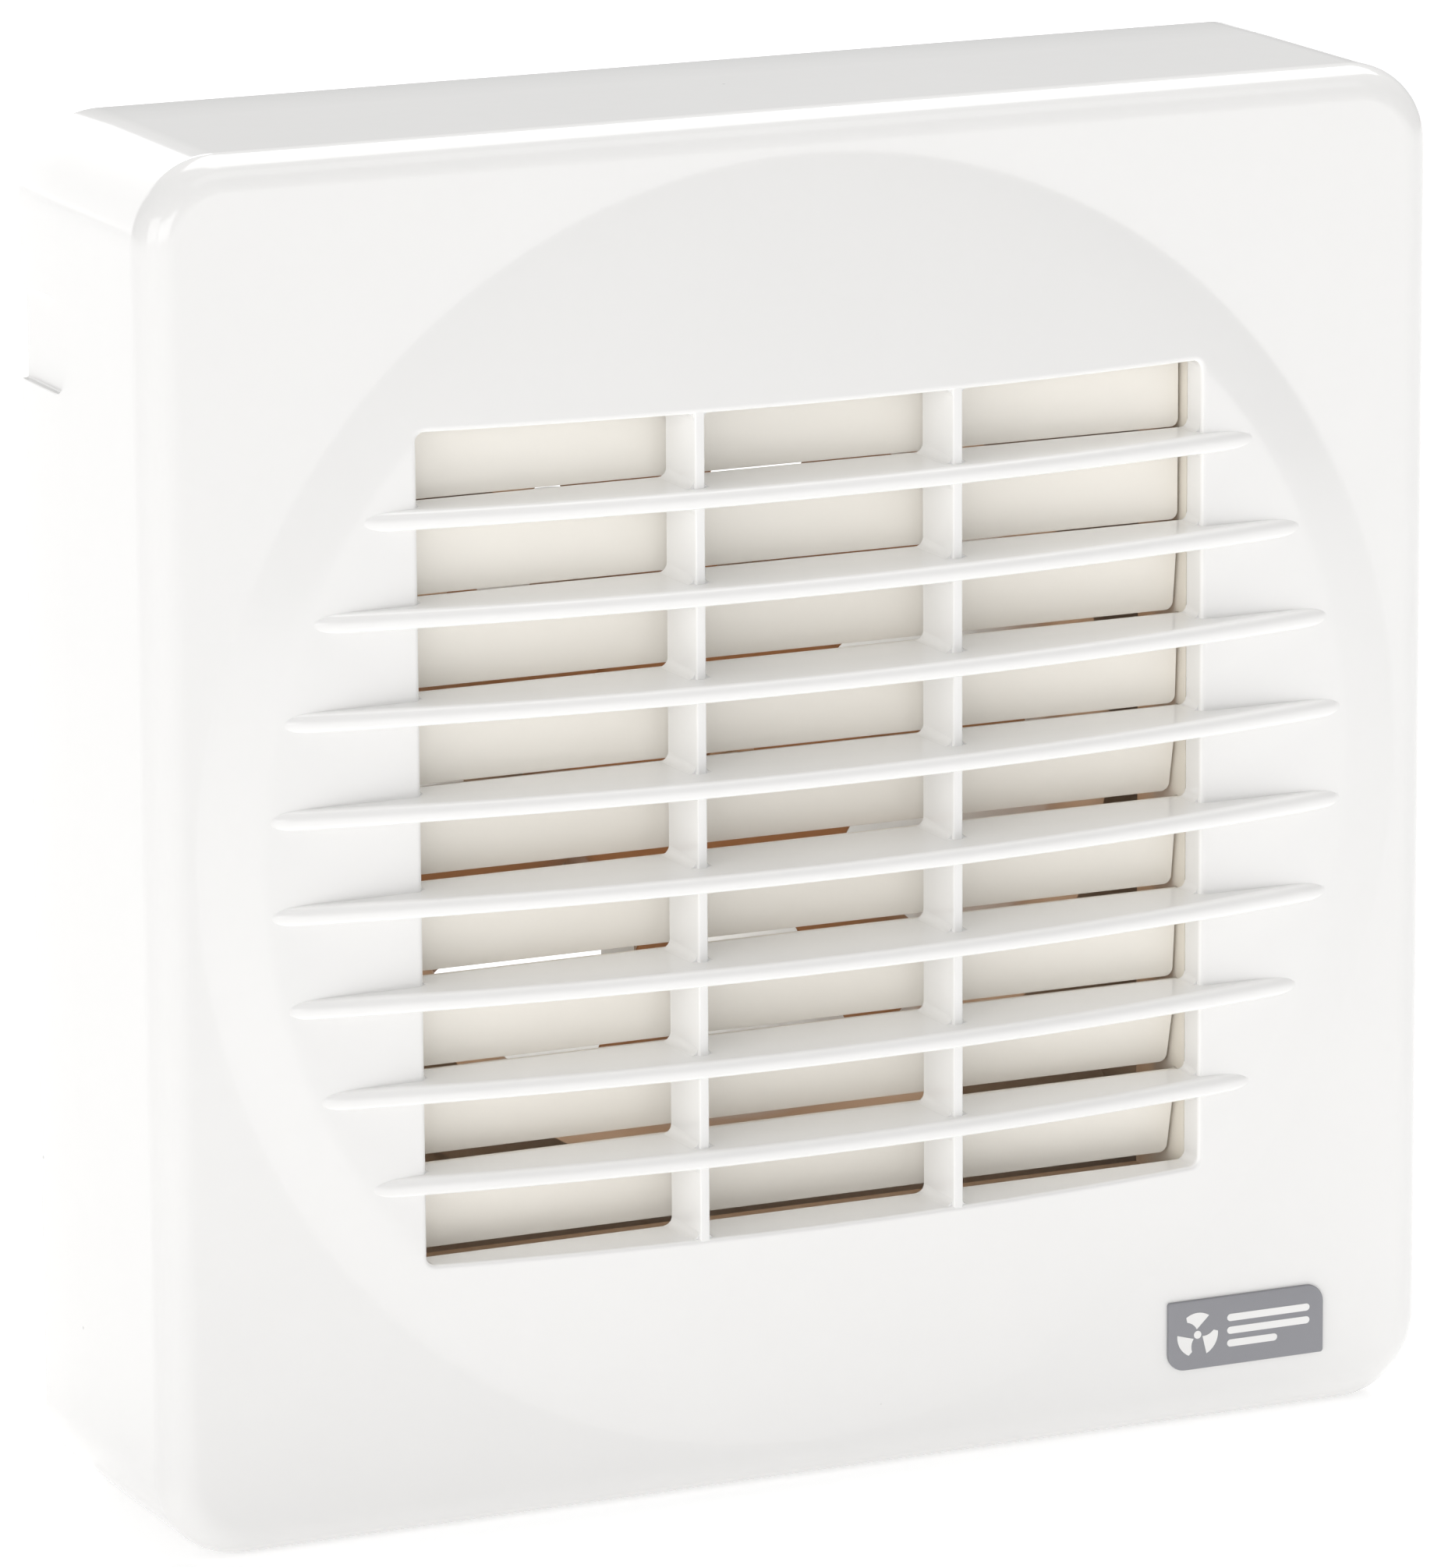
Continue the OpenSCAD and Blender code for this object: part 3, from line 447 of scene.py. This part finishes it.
def cover_shell():
    """The cover without bars, uprights, pegs and knock-out, from rings round to their start."""
    angle = cover_angles()
    cos, sin = np.cos(angle), np.sin(angle)
    rings = []

    def opening(grow):
        return outline(angle, OPEN_X + grow, OPEN_Z + grow, OPEN_R + grow)

    def outer(inset):
        return outline(angle, HALF - inset, HALF - inset, CORNER_R - inset)

    def ring(radius, y):
        x, z = radius * cos, radius * sin
        if callable(y):
            y = y(height(x, z))
        rings.append(np.stack([x, np.broadcast_to(y, x.shape), z], axis=1))

    def front(h):
        return FACE_Y - h

    def back(h):
        return FACE_Y - h + WALL

    def clusters(start):
        """Radii from the opening out to the face, close together at the two creases."""
        rest = DOME_R - 0.9 - start
        first = np.maximum(BAR_END_RINGS[0], start + 0.25 * rest)
        second = np.maximum(BAR_END_RINGS[1], start + 0.45 * rest)
        third = np.full_like(start, DOME_R - CREASE_RINGS[0])
        fourth = np.full_like(start, DOME_R + CREASE_RINGS[1])
        for low, high, steps in ((start, first, 6), (first, second, 7), (second, third, 5),
                                 (third, fourth, 9)):
            for k in range(1, steps + 1):
                yield low + (high - low) * k / steps
        last = outer(EDGE_R + STEP)
        for k in range(1, 6):
            yield fourth + (last - fourth) * k / 5

    # opening wall, from the back to the rounded lip
    ring(opening(0.0), INNER_Y - 0.2)
    ring(opening(0.0), lambda h: (FACE_Y - h + LIP_R) * 0.5 + INNER_Y * 0.5)
    ring(opening(0.0), lambda h: FACE_Y - h + LIP_R + 0.1)
    for k in range(7):
        a = QUARTER * k / 6
        ring(opening(LIP_R * (1 - math.cos(a))),
             lambda h, a=a: FACE_Y - h + LIP_R * (1 - math.sin(a)))
    start = opening(LIP_R + STEP)
    ring(start, front)
    for radius in clusters(start):
        ring(radius, front)
    # rounded edge, wall and rim
    for k in range(13):
        a = QUARTER * k / 12
        ring(outer(EDGE_R * (1 - math.sin(a))),
             lambda h, a=a: FACE_Y + EDGE_R * (1 - math.cos(a)) - h * math.cos(a))
    for y in (FACE_Y + EDGE_R + STEP, *WALL_RINGS, RIM_Y - 0.5):
        ring(outer(0.0), y)
    for k in range(1, 5):
        a = QUARTER * k / 4
        ring(outer(RIM_OUTER_R * (1 - math.cos(a))), RIM_Y - RIM_OUTER_R * (1 - math.sin(a)))
    for k in range(5):
        a = QUARTER * k / 4
        ring(outer(WALL - RIM_INNER_R * (1 - math.sin(a))), RIM_Y - RIM_INNER_R * (1 - math.cos(a)))
    for y in reversed(WALL_RINGS):
        ring(outer(WALL), y)
    # inside fillet, inside of the face and collar
    inner_r = EDGE_R - WALL
    for k in range(7):
        a = QUARTER * k / 6
        ring(outer(EDGE_R - inner_r * math.cos(a)), FACE_Y + EDGE_R - inner_r * math.sin(a))
    inside = opening(COLLAR + 0.1)
    for radius in reversed(list(clusters(inside))):
        ring(radius, back)
    ring(inside, back)
    ring(opening(COLLAR), lambda h: np.minimum(FACE_Y - h + WALL + 0.2, INNER_Y - 0.02))
    ring(opening(COLLAR), INNER_Y - 0.01)
    ring(opening(COLLAR - 0.15), INNER_Y)
    ring(opening(0.2), INNER_Y)
    faces = loft(rings, close=True)
    return mesh_object("front_cover_moulding", np.concatenate(rings), faces, "cover_abs")


def crest(x, z):
    """Height of a bar's crest above the face. It sinks below the flats at its ends."""
    r = np.hypot(x, z)
    sink = np.clip((r - BAR_SINK_R) / BAR_SINK_LEN, 0, 1)
    return np.sqrt(SPHERE_R ** 2 - r ** 2) - (SPHERE_R - DOME_RISE) - BAR_SINK * sink ** 2


def bar_half(y):
    """Half a bar's thickness at y."""
    return BAR_BACK - BAR_DRAFT * (INNER_Y - y)


def bar_rings(z):
    end = math.sqrt(BAR_END_R ** 2 - z ** 2)
    stations = np.concatenate([np.linspace(-end, -BAR_SHALLOW_X, 26),
                               np.linspace(-BAR_DEEP_X, BAR_DEEP_X, 120),
                               np.linspace(BAR_SHALLOW_X, end, 26)])
    rings = []
    for x in stations:
        top = FACE_Y - float(crest(x, z))
        back = INNER_Y - 0.03 if abs(x) <= BAR_DEEP_X else BAR_FOOT_Y
        round_r = bar_half(top + BAR_ROUND)
        turn = top + round_r
        low = max(back, turn + 0.02)
        side = [(bar_half(y), y) for y in np.linspace(low, turn, 3)[:2]]
        arc = [(round_r * math.cos(a), turn - round_r * math.sin(a))
               for a in np.linspace(0, math.pi, 17)]
        profile = side + arc + [(-w, y) for w, y in reversed(side)]
        rings.append([(x, y, z + w) for w, y in profile])
    return rings


def upright_rings(x):
    front_y = FACE_Y - UPRIGHT_RISE
    back_y = INNER_Y - 0.05
    half = UPRIGHT_BACK - UPRIGHT_DRAFT * (back_y - front_y)
    soft = UPRIGHT_SOFT
    profile = [(UPRIGHT_BACK, back_y), (half, front_y + soft)]
    profile += [(half - soft + soft * math.cos(a), front_y + soft - soft * math.sin(a))
                for a in np.linspace(0, QUARTER, 5)[1:]]
    profile += [(-w, y) for w, y in reversed(profile)]
    end = OPEN_Z + UPRIGHT_OVER
    return [[(x + w, y, z) for w, y in profile] for z in np.linspace(-end, end, 5)]


def corner_web(x, z, sx, sz, front_y, taper_x, taper_z, radius):
    """A concave fillet that fills the corner between a wall facing sx and a wall facing sz."""
    rings = []
    for y, r in ((WEB_Y, radius), (front_y, radius * 0.75)):
        depth = WEB_Y - y
        cx, cz = x - sx * taper_x * depth, z - sz * taper_z * depth
        ring = [(-WEB_IN, -WEB_IN), (r, -WEB_IN), (r, 0.0)]
        ring += [(r - r * math.sin(a), r - r * math.cos(a))
                 for a in np.linspace(0, QUARTER, 6)[1:]]
        ring += [(-WEB_IN, r)]
        rings.append([(cx + sx * u, y, cz + sz * v) for u, v in ring])
    return rings


def all_webs(bar_z):
    """Fillets where the bars and the opening's ends meet the uprights and the opening's sides."""
    webs = []
    edges = [-OPEN_Z] + [z + s * BAR_BACK for z in bar_z for s in (-1, 1)] + [OPEN_Z]
    for i, z in enumerate(edges):
        sz = 1 if i % 2 == 0 else -1
        taper_z = 0.0 if i in (0, len(edges) - 1) else BAR_DRAFT
        for x in (-UPRIGHT_X, UPRIGHT_X):
            for sx in (-1, 1):
                webs.append(corner_web(x + sx * UPRIGHT_BACK, z, sx, sz,
                                       FACE_Y - UPRIGHT_RISE + 0.5, UPRIGHT_DRAFT, taper_z,
                                       UPRIGHT_WEB_R))
        if taper_z:
            for sx in (-1, 1):
                webs.append(corner_web(sx * OPEN_X, z, -sx, sz, FACE_Y - 1.1, 0.0, taper_z,
                                       OPENING_WEB_R))
    return webs


def peg_rings(x, z):
    return [[(x + r * math.cos(t), y, z + r * math.sin(t)) for t in circle(32)]
            for r, y in PEG_PROFILE]


def knockout_rings():
    """The pressed-in cable outlet at the rear of the left wall, as a solid to take away."""
    rings = []
    for depth, grow in ((-0.5, 0.12), (0.0, 0.12), (0.1, 0.03), (KNOCK_DEEP - 0.15, 0.0),
                        (KNOCK_DEEP, -0.15)):
        half = KNOCK_W / 2 + grow
        r = KNOCK_R + grow
        ring = [(2.0, -half), (2.0, half)]
        for sign in (1, -1):
            for a in np.linspace(0, QUARTER, 9):
                u = a if sign == 1 else QUARTER - a
                ring.append((-(KNOCK_LEN + grow) + r - r * math.sin(u),
                             sign * (half - r + r * math.cos(u))))
        rings.append([(-HALF + depth, y, KNOCK_Z + z) for y, z in ring])
    return rings


def build_cover():
    cover = cover_shell()
    bar_z = [PITCH * (k - (BARS - 1) / 2) for k in range(BARS)]
    uprights = [upright_rings(sx * UPRIGHT_X) for sx in (-1, 1)]
    pegs = [peg_rings(x, z) for x, z in PEGS]
    combine(cover, lofts([bar_rings(z) for z in bar_z], "bars", "cover_abs"), "UNION")
    combine(cover, lofts(uprights, "uprights", "cover_abs"), "UNION")
    combine(cover, lofts(all_webs(bar_z), "webs", "cover_abs"), "UNION")
    combine(cover, lofts(pegs, "pegs", "cover_abs"), "UNION")
    combine(cover, lofts([knockout_rings()], "knockout", "cover_abs"), "DIFFERENCE")
    smooth(cover, 30.0)
    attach(cover, "cover")
    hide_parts("front_cover")


build_cover()


# ---- badge: a plain printed plate with a generic fan sign and lines ----

BADGE_X, BADGE_Z, BADGE_W, BADGE_H, BADGE_T = 57.3, -70.5, 21.0, 8.6, 0.5
BADGE_ROUND, BADGE_SQUARE = 2.2, 0.35        # radii of two opposite corners and of the other two
BADGE_EDGE = ((0.0, 0.12), (0.05, 0.03), (0.14, 0.0))    # inset, and y behind the plate's front
PRINT_SINK, PRINT_THICK = 0.02, 0.045
SIGN_X, SIGN_HUB_R = -6.6, 0.5               # the fan sign's middle and hub
SIGN_TIP_R, SIGN_TIP_HALF = 2.75, 34         # its blades' tip radius and half their width, degrees
LINES = ((-2.6, 8.6, 1.15, 2.05), (-2.6, 8.6, -0.45, 0.45), (-2.6, 4.2, -2.05, -1.15))  # x and z


def plate_outline(w, h, steps=8):
    """Rounded in two opposite corners, nearly square in the other two."""
    points = []
    for i, (sx, sz) in enumerate(((1, 1), (-1, 1), (-1, -1), (1, -1))):
        r = BADGE_ROUND if sx == sz else BADGE_SQUARE
        a0 = QUARTER * i
        for k in range(steps + 1):
            a = a0 + QUARTER * k / steps
            points.append((sx * (w / 2 - r) + r * math.cos(a), sz * (h / 2 - r) + r * math.sin(a)))
    return points


def sign_blade(number):
    """A blade of the fan sign: an arc at its tip, then a curve back in to the hub."""
    a0 = math.radians(90 + 120 * number)
    shape = []
    for k in range(13):
        a = a0 + math.radians(-SIGN_TIP_HALF + 2 * SIGN_TIP_HALF * (k / 12))
        shape.append((SIGN_X + SIGN_TIP_R * math.cos(a), SIGN_TIP_R * math.sin(a)))
    for k in range(6):
        a = a0 + math.radians(40 - 30 * k / 5)
        r = 2.2 - 1.5 * k / 5
        shape.append((SIGN_X + r * math.cos(a), r * math.sin(a)))
    return shape


def line_shape(x0, x1, z0, z1):
    """A line with round ends."""
    r, middle = (z1 - z0) / 2, (z0 + z1) / 2
    half_turn = np.linspace(-QUARTER, QUARTER, 9)
    return ([(x1 - r + r * math.cos(a), middle + r * math.sin(a)) for a in half_turn]
            + [(x0 + r - r * math.cos(a), middle - r * math.sin(a)) for a in half_turn])


def badge():
    front = FACE_Y - BADGE_T
    rings = []
    for inset, y in ((0.0, FACE_Y), *((inset, front + y) for inset, y in BADGE_EDGE)):
        shape = plate_outline(BADGE_W - 2 * inset, BADGE_H - 2 * inset)
        rings.append([(BADGE_X + x, y, BADGE_Z + z) for x, z in shape])
    plate = lofts([rings], "badge_moulding", "badge_grey")
    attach(plate, "cover")
    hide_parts("badge_plate")
    shapes = [sign_blade(number) for number in range(3)]
    shapes.append([(SIGN_X + SIGN_HUB_R * math.cos(a), SIGN_HUB_R * math.sin(a))
                   for a in circle(16)])
    shapes += [line_shape(*line) for line in LINES]
    marks = [[[(BADGE_X + x, front + PRINT_SINK - y, BADGE_Z + z) for x, z in shape]
              for y in (0.0, PRINT_THICK)] for shape in shapes]
    printed = lofts(marks, "badge_print", "cover_abs")
    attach(printed, "cover")


badge()


# ---- return spring: round wire, closed at both ends ----

SPRING_X, SPRING_Y, SPRING_LOW, SPRING_HIGH = 66.0, -31.0, -55.0, -42.4
SPRING_R, SPRING_WIRE_R = 2.6, 0.38
SPRING_TURNS = 5.0
SPRING_CLOSED = 0.09         # part of the wire that lies flat at each end


def return_spring():
    x, y = SPRING_X, SPRING_Y
    path = []
    for t in np.linspace(0, 1, 240):
        a = TURN * SPRING_TURNS * t
        rise = min(max((t - SPRING_CLOSED) / (1 - 2 * SPRING_CLOSED), 0.0), 1.0)
        path.append((x + SPRING_R * math.cos(a), y + SPRING_R * math.sin(a),
                     SPRING_LOW + (SPRING_HIGH - SPRING_LOW) * rise))
    coil = lofts([tube(path, SPRING_WIRE_R, 10)], "spring_coil", "zinc_steel")
    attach(coil, "root")
    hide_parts("return_spring")
    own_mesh(coil)


return_spring()


# ---- impeller: the CAD's blades with finer sections, and a rounded hub ----

HUB_R, TIP_R, BLADES = 20.0, 42.4, 7
HUB_ROUND, HUB_ROUND_Y = 1.6, -13.4          # the rounding of the hub's front edge
HUB_FRONT = [(2.0, -15.0)]                   # the hub's profile before and after that rounding
HUB_REST = [(20.0, -1.2), (19.8, -1.0), (18.2, -1.0), (18.0, -1.2),
            (18.0, -13.0), (5.0, -13.0), (5.0, -2.0), (2.0, -2.0)]
ROOT_IN = 0.8                                # how far the blades run into the hub
HALF_CHORD, HALF_CHORD_GAIN = 7.5, 2.5       # at the hub, and how much more at the tip
STAGGER, STAGGER_GAIN = 40, 20               # degrees, likewise
CAMBER, HALF_THICK = 1.6, 0.75
EDGE_THIN = 0.97                             # how far the section thins towards its edges
BLADE_Y = 8.0                                # how far the blades' middle is in front of y 0


def blade_point(r, t, side):
    """A point at radius r, t from -1 to 1 along the chord, on one side: its angle and y."""
    k = (r - HUB_R) / (TIP_R - HUB_R)
    half_chord = HALF_CHORD + HALF_CHORD_GAIN * k
    stagger = math.radians(STAGGER + STAGGER_GAIN * k)
    off = CAMBER * (1 - t * t) + side * HALF_THICK * math.sqrt(1 - EDGE_THIN * t * t)
    across = half_chord * t * math.sin(stagger) + off * math.cos(stagger)
    y = half_chord * t * math.cos(stagger) - off * math.sin(stagger) - BLADE_Y
    return across / r, y


def impeller():
    blades = []
    chord = np.sin(np.linspace(-QUARTER, QUARTER, 15))
    for k in range(BLADES):
        rings = []
        for r in np.linspace(HUB_R - ROOT_IN, TIP_R, 13):
            ring = [blade_point(r, t, 1) for t in chord]
            ring += [blade_point(r, t, -1) for t in chord[::-1]]
            # the CAD turns each blade about +Y, which takes +X towards -Z
            ring = [(a - TURN * k / BLADES, y) for a, y in ring]
            rings.append([(r * math.cos(a), y, r * math.sin(a)) for a, y in ring])
        blades.append(rings)
    edge = [(HUB_R - HUB_ROUND * (1 - math.cos(a)), HUB_ROUND_Y - HUB_ROUND * math.sin(a))
            for a in np.linspace(QUARTER, 0, 7)]
    hub = HUB_FRONT + edge + HUB_REST
    fan = lofts([revolve(hub)] + blades, "impeller_moulding", "impeller_pp", 40.0, closed=1)
    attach(fan, "rotor")
    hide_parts("impeller")


impeller()


# ---- inner leads: the CAD's routes as smooth round wires ----

LEAD_R = 0.8
LEAD_ANGLE = math.radians(150)               # where the motor's leads come out, round the axis
LEAD_GAP = 1.2                               # half the distance between the two wires of a pair


def smooth_route(points, steps=7):
    """A curve through the points, with no loops or overshoot at uneven spacing."""
    p = [np.asarray(q, float) for q in points]
    p = [2 * p[0] - p[1], *p, 2 * p[-1] - p[-2]]
    path = []
    for a, b, c, d in zip(p, p[1:], p[2:], p[3:]):
        t1 = np.linalg.norm(b - a) ** 0.5
        t2 = t1 + np.linalg.norm(c - b) ** 0.5
        t3 = t2 + np.linalg.norm(d - c) ** 0.5
        for t in np.linspace(t1, t2, steps, endpoint=False):
            ab = a + (b - a) * t / t1
            bc = b + (c - b) * (t - t1) / (t2 - t1)
            cd = c + (d - c) * (t - t2) / (t3 - t2)
            abc = ab + (bc - ab) * t / t2
            bcd = bc + (cd - bc) * (t - t1) / (t3 - t1)
            path.append(abc + (bcd - abc) * (t - t1) / (t2 - t1))
    return path + [p[-2]]


def motor_route(side):
    """Down from the terminal block, back through a hole in the duct, and in along a vane."""
    c, s = math.cos(LEAD_ANGLE), math.sin(LEAD_ANGLE)

    def at(radius, y, lift=0.0):
        return (c * radius + s * side * LEAD_GAP, y, s * radius - c * side * LEAD_GAP + lift)

    x = 3 * side - 50
    return [(x, -7.5, 55), (x, -7.5, 47), at(54, -9, 4), at(50, -9.5), at(47.4, -9),
            at(46.5, -7), at(46.5, 0), at(46.5, 4.4), at(45, 6), at(40, 6.6), at(30, 6.6),
            at(25, 3), at(21, 2.6), at(17, 3.2)]


def heater_route(side):
    """From the terminal block over the top and down the right side to the wax capsule."""
    y = side - 5.2
    return [(-47, y - 2, 64), (-44, y - 1, 70), (-30, y, 72.5), (0, y, 72.5), (40, y, 65),
            (62, y, 55), (66, y, 46), (66, y, 10), (66.4, y, -20), (66.8 - side, -7, -50),
            (66 - side * LEAD_GAP, -16, -61), (66 - side * LEAD_GAP, -25.4, -64.4)]


def leads(node, route, slot):
    wires = [tube(smooth_route(route(side)), LEAD_R, 14) for side in (-1, 1)]
    pair = lofts(wires, node + "_insulation", slot, 60.0)
    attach(pair, "root")
    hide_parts(node)


leads("motor_leads", motor_route, "lead_brown")
leads("heater_leads", heater_route, "lead_grey")


# ---- CAD nodes that stay: soft edges and their finishes ----

EDGE_WIDTH, SCREW_EDGE_WIDTH = 0.0003, 0.00022           # metres
EDGE_ANGLE = math.radians(38)


def finish_nodes():
    slots = {part["node"]: part["material_slot"] for part in frame["record"]["subparts"]}
    for name, obj in NODES.items():
        if obj.hide_render:
            continue
        obj.data.materials.clear()
        obj.data.materials.append(MATERIALS[slots[name]])
        bevel = obj.modifiers.new("soft_edges", "BEVEL")
        bevel.width = SCREW_EDGE_WIDTH if name.endswith("screws") else EDGE_WIDTH
        bevel.segments = 2
        bevel.limit_method = "ANGLE"
        bevel.angle_limit = EDGE_ANGLE
        bevel.harden_normals = False


finish_nodes()


# ---- stage and light ----

WORLD = 0.45
FLOOR_GLOW = 0.36
FLOOR_Z = -82.2              # mm, just under the cover
FLOOR_HALF = 6.0             # metres
FLOOR_TONES = (0.88, 0.88, 0.88), (0.90, 0.90, 0.90)
FLOOR_ROUGH = 0.9
WHITE, WARM = (1.0, 1.0, 1.0), (1.0, 0.55, 0.27)
# name, place and aim in metres, width, height, radiance, color
SOFTBOXES = [
    ("left_front", (-3.70, -2.00, 0.50), (0, 0, 0), 2.3, 2.3, 2.5, WHITE),
    ("front_left", (-1.90, -3.80, 0.30), (0, 0, 0), 2.6, 1.6, 3.0, WHITE),
    ("top_front", (0.80, -2.60, 2.90), (0, 0, 0), 2.6, 1.4, 0.9, WHITE),
    ("overhead", (1.10, 0.95, 3.35), (0, 0, 0), 3.0, 3.3, 3.6, WHITE),
    ("back_left", (-0.65, 3.60, 0.85), (0, 0, 0), 3.0, 2.4, 1.4, WHITE),
    ("back_top", (0.40, 3.70, 1.90), (0, 0, 0), 2.0, 0.25, 6.0, WHITE),
    # light that the white housing lets through, behind the closed flaps
    ("inside", (0, -0.0305, 0), (0, 1, 0), 0.098, 0.098, 0.24, WARM),
]


def pale_floor():
    n = Nodes("pale_floor")
    tone = n.mix(n.spread(n.noise(3.0), 0.0, 1.0), *FLOOR_TONES)
    n.link(tone, n.bsdf.inputs["Base Color"])
    n.bsdf.inputs["Roughness"].default_value = FLOOR_ROUGH
    n.bsdf.inputs["Specular IOR Level"].default_value = 0.0
    n.bsdf.inputs["Emission Color"].default_value = (1.0, 1.0, 1.0, 1.0)
    n.bsdf.inputs["Emission Strength"].default_value = FLOOR_GLOW
    return n.mat


def light_stage():
    world = bpy.data.worlds.new("studio")
    scene.world = world
    world.use_nodes = True
    back = world.node_tree.nodes["Background"]
    back.inputs["Color"].default_value = (1.0, 1.0, 1.0, 1.0)
    back.inputs["Strength"].default_value = WORLD
    size, floor_z = FLOOR_HALF, FLOOR_Z * MM
    mesh = bpy.data.meshes.new("floor")
    mesh.from_pydata([(-size, -size, floor_z), (size, -size, floor_z), (size, size, floor_z),
                      (-size, size, floor_z)], [], [(0, 1, 2, 3)])
    floor = bpy.data.objects.new("floor", mesh)
    scene.collection.objects.link(floor)
    mesh.materials.append(pale_floor())
    for name, place, aim, width, tall, radiance, color in SOFTBOXES:
        data = bpy.data.lights.new(name, "AREA")
        data.shape = "RECTANGLE"
        data.size, data.size_y = width, tall
        data.energy = radiance * math.pi * width * tall
        data.color = color
        obj = bpy.data.objects.new(name, data)
        scene.collection.objects.link(obj)
        obj.location = place
        obj.rotation_mode = "QUATERNION"
        obj.rotation_quaternion = (Vector(aim) - Vector(place)).to_track_quat("-Z", "Y")


light_stage()
scene.view_settings.view_transform = "Standard"
scene.view_settings.look = "None"
